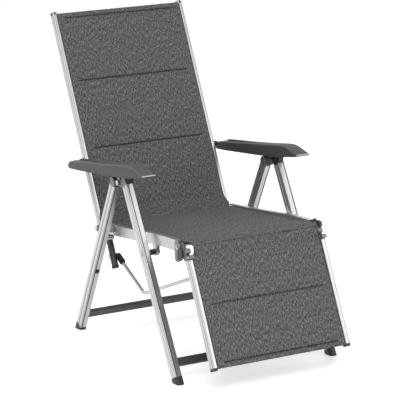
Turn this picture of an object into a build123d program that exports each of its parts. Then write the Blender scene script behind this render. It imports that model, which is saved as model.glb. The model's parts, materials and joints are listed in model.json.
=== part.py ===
from build123d import *
from math import asin, atan2, cos, degrees, hypot, radians, sin, tan
import os

os.makedirs("parts", exist_ok=True)

# The armchair stands on the XY plane and faces -Y. Places in the side view are written
# as (forward, height), with forward measured from the axis of the rear legs at the floor.

# Driving sizes of the side view
foot_spread = 769.0
apex_forward = 387.0
apex_height = 622.0
leg_axis_offset = 37.0
back_lean_angle = 24.9
back_hinge_forward = 115.0
back_hinge_height = 397.0
back_rail_reach = 815.0
legrest_hinge_forward = 735.0
legrest_hinge_height = 462.0
legrest_rail_start_ahead = 52.0
legrest_rail_start_drop = 39.0
legrest_rail_length = 376.0
linkage_arm = 108.0
rod_corner_forward = 362.0
rod_corner_height = 204.0
arm_pivot_reach = 254.0
catch_pin_rise = 21.6
arm_above = 19.0
arm_below = 21.8
rack_lift = 2.0
catch_pin_radius = 8.0

# Driving sizes across the chair
leg_center_x = 302.0
rail_outer_x = 267.0
arm_outer_x = 330.0
arm_inner_x = 275.0

# Profiles and walls
tube_wall = 1.6
leg_thickness = 25.0
leg_depth = 38.0
leg_corner = 9.0
crossbar_height = 30.0
crossbar_depth = 16.0
crossbar_corner = 4.0
crossbar_lift = 62.0
rail_thickness = 18.0
rail_depth = 25.0
rail_corner = 6.0
seat_rail_height = 38.0
lever_diameter = 24.0
rod_diameter = 12.0
cross_tube_diameter = 18.0
legrest_tube_diameter = 14.0
plate_thickness = 5.0
cap_wall = 2.5

# Fits
face_gap = 0.3
running_gap = 0.05
side_gap = 1.0
cap_margin = 1.0

# Fasteners and pins
hinge_pin_radius = 6.0
pivot_pin_radius = 5.0
link_pin_radius = 4.0
head_height = 4.0
head_rim = 4.0
overrun = 10.0


def polar(reach, angle):
    return (reach * cos(radians(angle)), reach * sin(radians(angle)))


def moved(place, reach, angle):
    step = polar(reach, angle)
    return (place[0] + step[0], place[1] + step[1])


def side_view(x):
    """Plane of the side view at x, with local x forward and local y up."""
    return Plane(origin=(x, depth_origin, 0), x_dir=(0, -1, 0), z_dir=(-1, 0, 0))


def along(place, angle, x=0.0):
    """Plane across a bar that runs from a side-view place at an angle above forward."""
    ahead, up = polar(1, angle)
    origin = (x, depth_origin - place[0], place[1])
    return Plane(origin=origin, x_dir=(1, 0, 0), z_dir=(0, -ahead, up))


def lying(place, angle, x=0.0):
    """Plane with local x across the chair, local y along the angle and local z on its upper side."""
    ahead, up = polar(1, angle)
    origin = (x, depth_origin - place[0], place[1])
    return Plane(origin=origin, x_dir=(-1, 0, 0), z_dir=(0, up, ahead))


def capsule(start, end, radius):
    """Rounded bar between two side-view places, added to the sketch in progress."""
    middle = ((start[0] + end[0]) / 2, (start[1] + end[1]) / 2)
    length = hypot(end[0] - start[0], end[1] - start[1])
    turn = degrees(atan2(end[1] - start[1], end[0] - start[0]))
    with Locations(middle):
        SlotCenterToCenter(length, 2 * radius, rotation=turn)


def round_bar(place, radius, x_start, x_end, mode=Mode.ADD):
    """Round bar across the chair at a side-view place, added to the part in progress."""
    with BuildSketch(side_view(x_start)) as disc:
        with Locations(place):
            Circle(radius)
    extrude(disc.sketch, amount=x_start - x_end, mode=mode)


def finish(part, label):
    part.label = label
    export_step(part, f"parts/{label}.step")


# Side-view places worked out from the driving sizes
apex = (apex_forward, apex_height)
rear_foot = (0.0, 0.0)
front_foot = (foot_spread, 0.0)
rear_leg_angle = degrees(
    atan2(apex_height, apex_forward) + asin(leg_axis_offset / hypot(apex_forward, apex_height))
)
front_run = foot_spread - apex_forward
front_leg_angle = 180 - degrees(
    atan2(apex_height, front_run) + asin(leg_axis_offset / hypot(front_run, apex_height))
)
rear_apex_reach = hypot(apex_forward, apex_height) * cos(
    asin(leg_axis_offset / hypot(apex_forward, apex_height))
)
front_apex_reach = hypot(front_run, apex_height) * cos(
    asin(leg_axis_offset / hypot(front_run, apex_height))
)
back_angle = 90 + back_lean_angle
lever_angle = back_angle - 180
back_hinge = (back_hinge_forward, back_hinge_height)
legrest_hinge = (legrest_hinge_forward, legrest_hinge_height)
legrest_rail_start = (
    legrest_hinge_forward + legrest_rail_start_ahead,
    legrest_hinge_height - legrest_rail_start_drop,
)
back_top = moved(back_hinge, back_rail_reach, back_angle)
legrest_end = moved(legrest_rail_start, legrest_rail_length, lever_angle)
rear_extent = back_top[0] - rail_depth / 2 * cos(radians(back_lean_angle))
front_extent = legrest_end[0] + (rail_depth / 2 + cap_margin) * cos(radians(back_lean_angle))
depth_origin = (rear_extent + front_extent) / 2
arm_pivot = moved(back_hinge, arm_pivot_reach, back_angle)
catch_pin = (apex_forward, apex_height + catch_pin_rise)
catch_pin_drop = arm_below - rack_lift + catch_pin_radius + face_gap
catch_pin_ahead = catch_pin[0] - arm_pivot[0]
catch_pin_above = catch_pin[1] - arm_pivot[1]
catch_reach = hypot(catch_pin_ahead, catch_pin_above)
arm_tilt_angle = degrees(
    atan2(catch_pin_above, catch_pin_ahead) + asin(catch_pin_drop / catch_reach)
)
lever_pin = moved(back_hinge, linkage_arm, lever_angle)
legrest_pin = moved(legrest_hinge, linkage_arm, lever_angle)

# The seat rails' middle line, and the pivot under it on the front legs
seat_straight_start = 150.0
seat_straight_end = 304.0
seat_straight_start_height = 408.0
seat_straight_end_height = 422.0
seat_rail_end = 719.0
seat_rail_end_height = 460.5
seat_rail_end_slope = 0.02
seat_rail_slope = (seat_straight_end_height - seat_straight_start_height) / (
    seat_straight_end - seat_straight_start
)
seat_pivot_share = 0.59
seat_pivot_drop = 45.2615
with BuildLine():
    seat_line = Spline(
        (seat_straight_end, seat_straight_end_height),
        (seat_rail_end, seat_rail_end_height),
        tangents=((1, seat_rail_slope), (1, seat_rail_end_slope)),
    )
over_pivot = seat_line @ seat_pivot_share
seat_pivot_height = over_pivot.Y - seat_pivot_drop
seat_pivot = (foot_spread + seat_pivot_height / tan(radians(front_leg_angle)), seat_pivot_height)

# Places across the chair
leg_inner_x = leg_center_x - leg_thickness / 2
leg_outer_x = leg_center_x + leg_thickness / 2
rail_inner_x = rail_outer_x - rail_thickness
rail_center_x = (rail_outer_x + rail_inner_x) / 2
lever_center_x = rail_inner_x - side_gap - lever_diameter / 2
lever_inner_x = lever_center_x - lever_diameter / 2
rod_center_x = lever_inner_x - 2 * side_gap - rod_diameter / 2
rod_inner_x = rod_center_x - rod_diameter / 2
plate_inner_x = rail_outer_x
plate_outer_x = plate_inner_x + plate_thickness

sides = (("right", -1), ("left", 1))


# Legs

leg_foot_lift = 12.0
leg_top_cut = 24.0
foot_sleeve_height = 17.0
rear_leg_length = rear_apex_reach - leg_top_cut
front_leg_length = front_apex_reach - leg_top_cut
foot_cut_size = 4 * leg_depth


def leg_profile(margin=0.0, mode=Mode.ADD):
    RectangleRounded(
        leg_thickness + 2 * margin, leg_depth + 2 * margin, leg_corner + margin, mode=mode
    )


def leg_tube(foot, angle, length, side):
    """Hollow leg from just above the floor to its top fitting."""
    first_reach = leg_foot_lift / sin(radians(angle))
    with BuildPart() as tube:
        with BuildSketch(along(moved(foot, first_reach, angle), angle, side * leg_center_x)):
            leg_profile()
            leg_profile(-tube_wall, mode=Mode.SUBTRACT)
        extrude(amount=length - first_reach)
    return tube.part


def foot_cap(foot, angle, side):
    """Closed rubber cap round the end of a leg, cut flat on the floor."""
    reach = foot_sleeve_height / sin(radians(angle))
    with BuildPart() as cap:
        with BuildSketch(along(moved(foot, -reach, angle), angle, side * leg_center_x)):
            leg_profile(cap_wall)
        extrude(amount=2 * reach)
        first_reach = leg_foot_lift / sin(radians(angle))
        with BuildSketch(along(moved(foot, first_reach, angle), angle, side * leg_center_x)):
            leg_profile()
        extrude(amount=2 * reach, mode=Mode.SUBTRACT)
        with BuildSketch(Plane.XY):
            with Locations((side * leg_center_x, depth_origin - foot[0])):
                Rectangle(foot_cut_size, foot_cut_size)
        extrude(amount=-foot_cut_size, mode=Mode.SUBTRACT)
    return cap.part


apex_boss_radius = 20.0
apex_ear_radius = 13.0
apex_fitting_thickness = 29.0
apex_boss_back = 12.0
leg_lid_thickness = 2.0
apex_inner_x = leg_center_x - apex_fitting_thickness / 2
apex_outer_x = leg_center_x + apex_fitting_thickness / 2
rear_apex_boss = moved(rear_foot, rear_leg_length - apex_boss_back, rear_leg_angle)
front_apex_boss = moved(front_foot, front_leg_length - apex_boss_back, front_leg_angle)


def apex_fitting(foot, angle, length, boss, side, ear_low, ear_high, catch_radius):
    """Cover on the top of a leg with one half-thick ear on the hinge pin between the legs."""
    with BuildPart() as fitting:
        with BuildSketch(side_view(side * leg_center_x)):
            with Locations(boss):
                Circle(apex_boss_radius)
        extrude(amount=apex_fitting_thickness / 2, both=True)
        with BuildSketch(side_view(side * ear_low)):
            capsule(boss, apex, apex_ear_radius)
            if catch_radius > 0:
                capsule(apex, catch_pin, catch_radius)
        extrude(amount=side * (ear_low - ear_high))
        with BuildSketch(along(moved(foot, length - 2 * apex_boss_radius, angle), angle,
                               side * leg_center_x)):
            leg_profile()
        extrude(amount=2 * apex_boss_radius, mode=Mode.SUBTRACT)
        with BuildSketch(along(moved(foot, length, angle), angle, side * leg_center_x)):
            leg_profile()
        extrude(amount=leg_lid_thickness)
        round_bar(
            apex,
            pivot_pin_radius + running_gap,
            side * (apex_inner_x - overrun),
            side * (apex_outer_x + overrun),
            mode=Mode.SUBTRACT,
        )
    return fitting.part


ear_split_gap = 0.4
for side_name, side in sides:
    with BuildPart() as front_leg:
        add(leg_tube(front_foot, front_leg_angle, front_leg_length, side))
        round_bar(seat_pivot, pivot_pin_radius, side * (leg_inner_x - overrun),
                  side * (leg_outer_x + overrun), mode=Mode.SUBTRACT)
    finish(front_leg.part, f"front_leg_{side_name}")
    finish(leg_tube(rear_foot, rear_leg_angle, rear_leg_length, side), f"rear_leg_{side_name}")
    finish(foot_cap(front_foot, front_leg_angle, side), f"front_foot_{side_name}")
    finish(foot_cap(rear_foot, rear_leg_angle, side), f"rear_foot_{side_name}")
    finish(
        apex_fitting(front_foot, front_leg_angle, front_leg_length, front_apex_boss, side,
                     leg_center_x + ear_split_gap / 2, apex_outer_x, catch_pin_radius),
        f"front_apex_fitting_{side_name}",
    )
    finish(
        apex_fitting(rear_foot, rear_leg_angle, rear_leg_length, rear_apex_boss, side,
                     apex_inner_x, leg_center_x - ear_split_gap / 2, 0),
        f"rear_apex_fitting_{side_name}",
    )

with BuildPart() as apex_hinge_pins:
    for side_name, side in sides:
        round_bar(apex, pivot_pin_radius, side * (apex_inner_x - side_gap),
                  side * (apex_outer_x + face_gap))
        round_bar(apex, pivot_pin_radius + head_rim, side * (apex_outer_x + face_gap),
                  side * (apex_outer_x + face_gap + head_height))
finish(apex_hinge_pins.part, "apex_hinge_pins")

with BuildPart() as rack_catch_pins:
    for side_name, side in sides:
        round_bar(catch_pin, catch_pin_radius, side * apex_inner_x,
                  side * (leg_center_x + ear_split_gap / 2))
finish(rack_catch_pins.part, "rack_catch_pins")


def leg_crossbar(foot, angle):
    """Rectangular tube between the inner faces of a pair of legs."""
    place = moved(foot, crossbar_lift / sin(radians(angle)), angle)
    with BuildPart() as bar:
        turned = along(place, angle, -leg_inner_x)
        profile_plane = Plane(origin=turned.origin, x_dir=turned.z_dir, z_dir=(1, 0, 0))
        with BuildSketch(profile_plane):
            RectangleRounded(crossbar_height, crossbar_depth, crossbar_corner)
            RectangleRounded(
                crossbar_height - 2 * tube_wall,
                crossbar_depth - 2 * tube_wall,
                crossbar_corner - tube_wall,
                mode=Mode.SUBTRACT,
            )
        extrude(amount=2 * leg_inner_x)
    return bar.part


bumper_reach = 296.0
bumper_radius = 5.0
bumper_length = 6.0
bumper_half_width = 6.0
with BuildPart() as leg_bumpers:
    for side_name, side in sides:
        leg_front = moved(
            moved(rear_foot, bumper_reach, rear_leg_angle), leg_depth / 2, rear_leg_angle - 90
        )
        with BuildSketch(side_view(side * leg_center_x)):
            capsule(leg_front, moved(leg_front, bumper_length, rear_leg_angle), bumper_radius)
        extrude(amount=bumper_half_width, both=True)
        with BuildSketch(along(rear_foot, rear_leg_angle, side * leg_center_x)):
            leg_profile()
        extrude(amount=rear_leg_length, mode=Mode.SUBTRACT)
finish(leg_bumpers.part, "leg_bumpers")

finish(leg_crossbar(front_foot, front_leg_angle), "front_crossbar")
finish(leg_crossbar(rear_foot, rear_leg_angle), "rear_crossbar")


# Seat frame

seat_pad_start = 168.0
seat_pad_end = 797.0
seat_pad_base = 2.0
seat_angle = degrees(
    atan2(seat_rail_end_height - seat_straight_start_height, seat_rail_end - seat_straight_start)
)


def seat_rail_outline(inset=0.0, longer=0.0):
    """Side outline of a seat rail: straight at the rear, then a soft rise to the front."""
    half = seat_rail_height / 2 - inset
    rear = seat_straight_start - longer
    rear_height = seat_straight_start_height - seat_rail_slope * longer
    front = seat_rail_end + longer
    front_height = seat_rail_end_height + seat_rail_end_slope * longer
    tangents = ((1, seat_rail_slope), (1, seat_rail_end_slope))
    with BuildLine() as outline:
        upper = (
            (rear, rear_height + half),
            (seat_straight_end, seat_straight_end_height + half),
            (front, front_height + half),
        )
        lower = (
            (rear, rear_height - half),
            (seat_straight_end, seat_straight_end_height - half),
            (front, front_height - half),
        )
        Line(upper[0], upper[1])
        Spline(upper[1], upper[2], tangents=tangents)
        Line(upper[2], lower[2])
        Spline(lower[1], lower[2], tangents=tangents)
        Line(lower[1], lower[0])
        Line(lower[0], upper[0])
    make_face(outline.edges())


def seat_height_at(forward):
    """Height of the seat rail's middle line on its straight rear stretch."""
    return seat_straight_start_height + seat_rail_slope * (forward - seat_straight_start)


stud_radius = 9.0
stud_reach_x = rail_center_x
stud_bottom_step = stud_radius * hypot(1, seat_rail_slope) + face_gap
stud_line_height = seat_height_at(0) - seat_rail_height / 2 - stud_bottom_step
stud_forward = stud_line_height / (tan(radians(rear_leg_angle)) - seat_rail_slope)
seat_stud = (stud_forward, stud_forward * tan(radians(rear_leg_angle)))
bracket_radius = 14.0
bracket_thickness = 12.0
bracket_share = seat_pivot_share + (seat_pivot[0] - over_pivot.X) / (seat_rail_end - seat_straight_end)
bracket_top = (seat_pivot[0], (seat_line @ bracket_share).Y)
plate_radius = 13.0
plate_forward_reach = 120.0
plate_lift = 5.0
front_plate_width = 30.0
front_plate_top = 8.0
front_plate_bottom = 47.0
front_plate_back = 8.0

for side_name, side in sides:
    with BuildPart() as seat_rail:
        with BuildSketch(side_view(side * rail_center_x)):
            seat_rail_outline()
        extrude(amount=rail_thickness / 2, both=True)
        with BuildSketch(side_view(side * rail_center_x)):
            seat_rail_outline(tube_wall, overrun)
        extrude(amount=rail_thickness / 2 - tube_wall, both=True, mode=Mode.SUBTRACT)
    finish(seat_rail.part, f"seat_rail_{side_name}")

    with BuildPart() as back_hinge_bracket:
        plate_forward = back_hinge_forward + plate_forward_reach
        plate_end = (plate_forward, seat_height_at(plate_forward) + plate_lift)
        with BuildSketch(side_view(side * plate_inner_x)):
            capsule(back_hinge, plate_end, plate_radius)
        extrude(amount=-side * plate_thickness)
        round_bar(back_hinge, hinge_pin_radius, side * (plate_inner_x - overrun),
                  side * (plate_outer_x + overrun), mode=Mode.SUBTRACT)
    finish(back_hinge_bracket.part, f"back_hinge_bracket_{side_name}")

    with BuildPart() as legrest_hinge_bracket:
        front_plate_center = legrest_hinge_forward - front_plate_back
        front_plate_rise = legrest_hinge_height + front_plate_top
        front_plate_low = front_plate_rise - front_plate_bottom
        with BuildSketch(side_view(side * plate_inner_x)):
            capsule((front_plate_center, front_plate_low), (front_plate_center, front_plate_rise),
                    front_plate_width / 2)
        extrude(amount=-side * plate_thickness)
        round_bar(legrest_hinge, pivot_pin_radius, side * (plate_inner_x - overrun),
                  side * (plate_outer_x + overrun), mode=Mode.SUBTRACT)
    finish(legrest_hinge_bracket.part, f"legrest_hinge_bracket_{side_name}")

with BuildPart() as seat_pivot_brackets:
    for side_name, side in sides:
        with BuildSketch(side_view(side * rail_center_x)):
            capsule(seat_pivot, bracket_top, bracket_radius)
        extrude(amount=bracket_thickness / 2, both=True)
        with BuildSketch(side_view(side * rail_center_x)):
            seat_rail_outline()
        extrude(amount=rail_thickness, both=True, mode=Mode.SUBTRACT)
        with BuildSketch(side_view(side * rail_center_x)):
            with Locations((bracket_top[0], bracket_top[1] + 2 * bracket_radius)):
                Rectangle(4 * bracket_radius, 4 * bracket_radius)
        extrude(amount=rail_thickness, both=True, mode=Mode.SUBTRACT)
        round_bar(seat_pivot, pivot_pin_radius + running_gap, side * (rail_inner_x - overrun),
                  side * (rail_outer_x + overrun), mode=Mode.SUBTRACT)
finish(seat_pivot_brackets.part, "seat_pivot_brackets")

bracket_outer_x = rail_center_x + bracket_thickness / 2
bracket_inner_x = rail_center_x - bracket_thickness / 2
spacer_radius = 10.0
with BuildPart() as seat_pivot_spacers:
    for side_name, side in sides:
        round_bar(seat_pivot, spacer_radius, side * (bracket_outer_x + face_gap),
                  side * leg_inner_x)
        round_bar(seat_pivot, pivot_pin_radius, side * bracket_inner_x,
                  side * (leg_inner_x + overrun), mode=Mode.SUBTRACT)
finish(seat_pivot_spacers.part, "seat_pivot_spacers")

with BuildPart() as seat_pivot_bolts:
    for side_name, side in sides:
        round_bar(seat_pivot, pivot_pin_radius, side * (bracket_inner_x - face_gap - head_height),
                  side * leg_outer_x)
        round_bar(seat_pivot, pivot_pin_radius + head_rim, side * leg_outer_x,
                  side * (leg_outer_x + head_height))
        round_bar(seat_pivot, pivot_pin_radius + head_rim,
                  side * (bracket_inner_x - face_gap - head_height),
                  side * (bracket_inner_x - face_gap))
finish(seat_pivot_bolts.part, "seat_pivot_bolts")

with BuildPart() as seat_rest_studs:
    for side_name, side in sides:
        round_bar(seat_stud, stud_radius, side * stud_reach_x, side * leg_inner_x)
finish(seat_rest_studs.part, "seat_rest_studs")

seat_tube_reaches = (130.0, 490.0)
seat_tube_drop = cross_tube_diameter / 2 + face_gap - seat_pad_base
seat_pad_place = (seat_pad_start, seat_height_at(seat_pad_start))


def cross_tube(place, diameter):
    """Round tube between the inner faces of a pair of rails, added to the part in progress."""
    round_bar(place, diameter / 2, -rail_inner_x, rail_inner_x)
    round_bar(place, diameter / 2 - tube_wall, -rail_inner_x, rail_inner_x, mode=Mode.SUBTRACT)


with BuildPart() as seat_cross_tubes:
    for reach in seat_tube_reaches:
        below = moved(moved(seat_pad_place, reach, seat_angle), seat_tube_drop, seat_angle - 90)
        cross_tube(below, cross_tube_diameter)
finish(seat_cross_tubes.part, "seat_cross_tubes")


# Back frame with the levers of the leg-rest linkage

back_rail_below = 14.0
lever_above = 34.0
lever_below = 152.0
lever_cap_length = 9.0
top_cap_length = 10.0
hinge_knob_height = 8.0


def rail_profile(margin=0.0, mode=Mode.ADD):
    RectangleRounded(
        rail_thickness + 2 * margin, rail_depth + 2 * margin, rail_corner + margin, mode=mode
    )


lever_top = moved(back_hinge, lever_above, back_angle)

for side_name, side in sides:
    with BuildPart() as back_rail:
        rail_low = moved(back_hinge, -back_rail_below, back_angle)
        with BuildSketch(along(rail_low, back_angle, side * rail_center_x)):
            rail_profile()
            rail_profile(-tube_wall, mode=Mode.SUBTRACT)
        extrude(amount=back_rail_below + back_rail_reach - top_cap_length)
        round_bar(back_hinge, hinge_pin_radius + running_gap, side * (rail_inner_x - overrun),
                  side * (rail_outer_x + overrun), mode=Mode.SUBTRACT)
        round_bar(arm_pivot, pivot_pin_radius, side * (rail_inner_x - overrun),
                  side * (rail_outer_x + overrun), mode=Mode.SUBTRACT)
    finish(back_rail.part, f"back_rail_{side_name}")

    with BuildPart() as lever:
        with BuildSketch(along(lever_top, lever_angle, side * lever_center_x)):
            Circle(lever_diameter / 2)
            Circle(lever_diameter / 2 - tube_wall, mode=Mode.SUBTRACT)
        extrude(amount=lever_above + lever_below - lever_cap_length)
        round_bar(back_hinge, hinge_pin_radius + running_gap, side * (lever_inner_x - overrun),
                  side * (rail_outer_x + overrun), mode=Mode.SUBTRACT)
        round_bar(lever_pin, link_pin_radius, side * (lever_inner_x - overrun),
                  side * (rail_outer_x + overrun), mode=Mode.SUBTRACT)
    finish(lever.part, f"linkage_lever_{side_name}")

with BuildPart() as back_top_caps:
    for side_name, side in sides:
        cap_low = moved(back_top, -top_cap_length, back_angle)
        with BuildSketch(along(cap_low, back_angle, side * rail_center_x)):
            rail_profile()
        extrude(amount=top_cap_length)
finish(back_top_caps.part, "back_top_caps")

with BuildPart() as lever_end_caps:
    for side_name, side in sides:
        cap_start = moved(back_hinge, lever_below - lever_cap_length, lever_angle)
        with BuildSketch(along(cap_start, lever_angle, side * lever_center_x)):
            Circle(lever_diameter / 2 + cap_margin)
        extrude(amount=lever_cap_length)
finish(lever_end_caps.part, "lever_end_caps")

with BuildPart() as lever_spacers:
    for side_name, side in sides:
        round_bar(back_hinge, hinge_pin_radius + head_rim, side * (rail_inner_x - side_gap),
                  side * rail_inner_x)
        round_bar(back_hinge, hinge_pin_radius + running_gap, side * lever_inner_x,
                  side * rail_outer_x, mode=Mode.SUBTRACT)
        with BuildSketch(along(lever_top, lever_angle, side * lever_center_x)):
            Circle(lever_diameter / 2)
        extrude(amount=lever_above + lever_below, mode=Mode.SUBTRACT)
finish(lever_spacers.part, "lever_spacers")

with BuildPart() as back_hinge_bolts:
    for side_name, side in sides:
        round_bar(back_hinge, hinge_pin_radius, side * (lever_inner_x - face_gap),
                  side * plate_outer_x)
        round_bar(back_hinge, hinge_pin_radius + head_rim, side * plate_outer_x,
                  side * (plate_outer_x + hinge_knob_height))
finish(back_hinge_bolts.part, "back_hinge_bolts")

with BuildPart() as linkage_pins:
    for side_name, side in sides:
        lever_outer_x = lever_center_x + lever_diameter / 2
        round_bar(lever_pin, link_pin_radius, side * (rod_inner_x - side_gap),
                  side * lever_outer_x)
        round_bar(lever_pin, link_pin_radius + head_rim, side * lever_outer_x,
                  side * (lever_outer_x + head_height))
finish(linkage_pins.part, "linkage_pins")

back_tube_reaches = (150.0, 640.0)
tube_setback = 9.5
with BuildPart() as back_cross_tubes:
    for reach in back_tube_reaches:
        behind = moved(moved(back_hinge, reach, back_angle), tube_setback, back_angle + 90)
        cross_tube(behind, cross_tube_diameter)
finish(back_cross_tubes.part, "back_cross_tubes")


# Leg rest

legrest_cap_length = 9.0
legrest_tube_reach = 320.0
legrest_tube_setback = 7.0
fitting_thickness = 16.0
fitting_radius = 13.0
fitting_plug_radius = 11.0
lug_radius = 8.0
knuckle_ahead_share = 0.45
knuckle_drop_share = 0.55
legrest_angle = lever_angle

with BuildPart() as legrest_hinge_fittings:
    for side_name, side in sides:
        middle_knuckle = (
            legrest_hinge_forward + legrest_rail_start_ahead * knuckle_ahead_share,
            legrest_hinge_height - legrest_rail_start_drop * knuckle_drop_share,
        )
        with BuildSketch(side_view(side * rail_center_x)):
            capsule(legrest_hinge, middle_knuckle, fitting_radius)
            capsule(middle_knuckle, legrest_rail_start, fitting_plug_radius)
        extrude(amount=fitting_thickness / 2, both=True)
        with BuildSketch(along(legrest_rail_start, legrest_angle, side * rail_center_x)):
            rail_profile(side_gap)
        extrude(amount=legrest_rail_length, mode=Mode.SUBTRACT)
        round_bar(legrest_hinge, pivot_pin_radius + running_gap, side * (rail_inner_x - overrun),
                  side * (rail_outer_x + overrun), mode=Mode.SUBTRACT)
finish(legrest_hinge_fittings.part, "legrest_hinge_fittings")

for side_name, side in sides:
    with BuildPart() as legrest_rail:
        with BuildSketch(along(legrest_rail_start, legrest_angle, side * rail_center_x)):
            rail_profile()
            rail_profile(-tube_wall, mode=Mode.SUBTRACT)
        extrude(amount=legrest_rail_length - legrest_cap_length)
    finish(legrest_rail.part, f"legrest_rail_{side_name}")

with BuildPart() as legrest_end_caps:
    for side_name, side in sides:
        cap_start = moved(legrest_end, -legrest_cap_length, legrest_angle)
        with BuildSketch(along(cap_start, legrest_angle, side * rail_center_x)):
            rail_profile(cap_margin)
        extrude(amount=legrest_cap_length)
finish(legrest_end_caps.part, "legrest_end_caps")

with BuildPart() as legrest_cross_tube:
    behind = moved(moved(legrest_rail_start, legrest_tube_reach, legrest_angle),
                   legrest_tube_setback, legrest_angle - 90)
    cross_tube(behind, legrest_tube_diameter)
finish(legrest_cross_tube.part, "legrest_cross_tube")

with BuildPart() as legrest_hinge_bolts:
    for side_name, side in sides:
        round_bar(legrest_hinge, pivot_pin_radius, side * rail_inner_x, side * plate_outer_x)
        round_bar(legrest_hinge, pivot_pin_radius + head_rim, side * plate_outer_x,
                  side * (plate_outer_x + head_height))
finish(legrest_hinge_bolts.part, "legrest_hinge_bolts")

lug_reach = 62.0
lug_root = moved(
    moved(legrest_rail_start, lug_reach, legrest_angle), lug_radius, legrest_angle - 90
)
with BuildPart() as legrest_lugs:
    for side_name, side in sides:
        with BuildSketch(side_view(side * lever_inner_x)):
            capsule(legrest_pin, lug_root, lug_radius)
        extrude(amount=side * (lever_inner_x - rail_inner_x))
        round_bar(legrest_pin, link_pin_radius, side * (rod_inner_x - side_gap),
                  side * lever_inner_x)
finish(legrest_lugs.part, "legrest_lugs")


# Bent push rods between the levers and the leg rest

rod_corner = (rod_corner_forward, rod_corner_height)
rod_eye_radius = 9.0
eye_half_width = rod_diameter / 2 + side_gap
clip_length = 26.0
clip_grip = 13.0
clip_radius = 9.0
rod_bend_radius = 30.0

rod_rear_angle = degrees(
    atan2(rod_corner[1] - lever_pin[1], rod_corner[0] - lever_pin[0])
)
rod_rear_length = hypot(rod_corner[0] - lever_pin[0], rod_corner[1] - lever_pin[1])
rod_start = moved(lever_pin, clip_length, rod_rear_angle)

for side_name, side in sides:
    with BuildPart() as push_rod:
        with BuildLine(side_view(side * rod_center_x)) as rod_path:
            FilletPolyline(rod_start, rod_corner, legrest_pin, radius=rod_bend_radius)
        with BuildSketch(along(rod_start, rod_rear_angle, side * rod_center_x)):
            Circle(rod_diameter / 2)
        sweep(path=rod_path.wire())
        round_bar(legrest_pin, rod_eye_radius, side * (rod_center_x - eye_half_width),
                  side * (rod_center_x + eye_half_width))
        round_bar(legrest_pin, link_pin_radius + running_gap, side * (rod_inner_x - overrun),
                  side * (rod_inner_x + rod_diameter + overrun), mode=Mode.SUBTRACT)
    finish(push_rod.part, f"push_rod_{side_name}")

    with BuildPart() as rod_clip:
        with BuildSketch(side_view(side * rod_center_x)):
            capsule(lever_pin, moved(lever_pin, clip_length + clip_grip, rod_rear_angle), clip_radius)
        extrude(amount=eye_half_width, both=True)
        with BuildSketch(along(rod_start, rod_rear_angle, side * rod_center_x)):
            Circle(rod_diameter / 2)
        extrude(amount=rod_rear_length, mode=Mode.SUBTRACT)
        round_bar(lever_pin, link_pin_radius + running_gap, side * (rod_inner_x - overrun),
                  side * (rod_inner_x + rod_diameter + overrun), mode=Mode.SUBTRACT)
    finish(rod_clip.part, f"rod_clip_{side_name}")


# Armrests, their racks and pivots

arm_wall = 4.0
arm_rear = 24.0
arm_front = 592.0
arm_nose_start = 490.0
arm_nose_drop = 26.0
arm_corner = 10.0
rack_thickness = 14.0
rack_rear = 60.0
rack_front = 540.0
tooth_pitch = 31.0
tooth_count = 5
tooth_radius = 9.0
bush_radius = 9.0
arm_center_x = (arm_outer_x + arm_inner_x) / 2


def arm_place(ahead, up):
    """Side-view place from armrest measures taken along and square to its underside."""
    return moved(moved(arm_pivot, ahead, arm_tilt_angle), up, arm_tilt_angle + 90)


def arm_outline(inset=0.0, lower=0.0):
    """Side outline of an armrest: level back part and a nose that curves down."""
    low = -arm_below - lower
    high = arm_above - inset
    with BuildLine() as outline:
        rear_low = arm_place(-arm_rear + inset, low)
        rear_high = arm_place(-arm_rear + inset, high - arm_corner)
        rear_turn = arm_place(-arm_rear + inset + arm_corner, high)
        nose_start = arm_place(arm_nose_start, high)
        nose_tip = arm_place(arm_front - inset, high - arm_nose_drop)
        Line(rear_low, rear_high)
        TangentArc(rear_high, rear_turn, tangent=polar(1, arm_tilt_angle + 90))
        Line(rear_turn, nose_start)
        TangentArc(nose_start, nose_tip, tangent=polar(1, arm_tilt_angle))
        front_low = arm_place(arm_front - inset, low)
        Line(nose_tip, front_low)
        Line(front_low, rear_low)
    make_face(outline.edges())


rack_high = arm_above - arm_wall
rack_low = -arm_below + rack_lift

for side_name, side in sides:
    with BuildPart() as armrest:
        with BuildSketch(side_view(side * arm_center_x)):
            arm_outline()
        extrude(amount=(arm_outer_x - arm_inner_x) / 2, both=True)
        with BuildSketch(side_view(side * arm_center_x)):
            arm_outline(arm_wall, overrun)
        extrude(amount=(arm_outer_x - arm_inner_x) / 2 - arm_wall, both=True, mode=Mode.SUBTRACT)
        round_bar(arm_pivot, bush_radius + running_gap, side * (arm_inner_x - overrun),
                  side * (arm_inner_x + overrun), mode=Mode.SUBTRACT)
    finish(armrest.part, f"armrest_{side_name}")

    with BuildPart() as armrest_rack:
        corners = (
            arm_place(rack_rear, rack_low),
            arm_place(rack_front, rack_low),
            arm_place(rack_front, rack_low + 2 * arm_wall),
            arm_place(arm_nose_start, rack_high),
            arm_place(rack_rear, rack_high),
        )
        with BuildSketch(side_view(side * leg_center_x)):
            with BuildLine():
                Polyline(*corners, close=True)
            make_face()
            for index in range(tooth_count):
                notch_ahead = catch_reach + (index + 1 / 2) * tooth_pitch
                with Locations(arm_place(notch_ahead, rack_low - tooth_radius / 2)):
                    Circle(tooth_radius, mode=Mode.SUBTRACT)
        extrude(amount=rack_thickness / 2, both=True)
    finish(armrest_rack.part, f"armrest_rack_{side_name}")

    with BuildPart() as armrest_bush:
        round_bar(arm_pivot, bush_radius, side * (rail_outer_x + face_gap),
                  side * (arm_inner_x + arm_wall + face_gap))
        round_bar(arm_pivot, pivot_pin_radius + running_gap, side * rail_inner_x,
                  side * (arm_inner_x + overrun), mode=Mode.SUBTRACT)
    finish(armrest_bush.part, f"armrest_bush_{side_name}")

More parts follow.
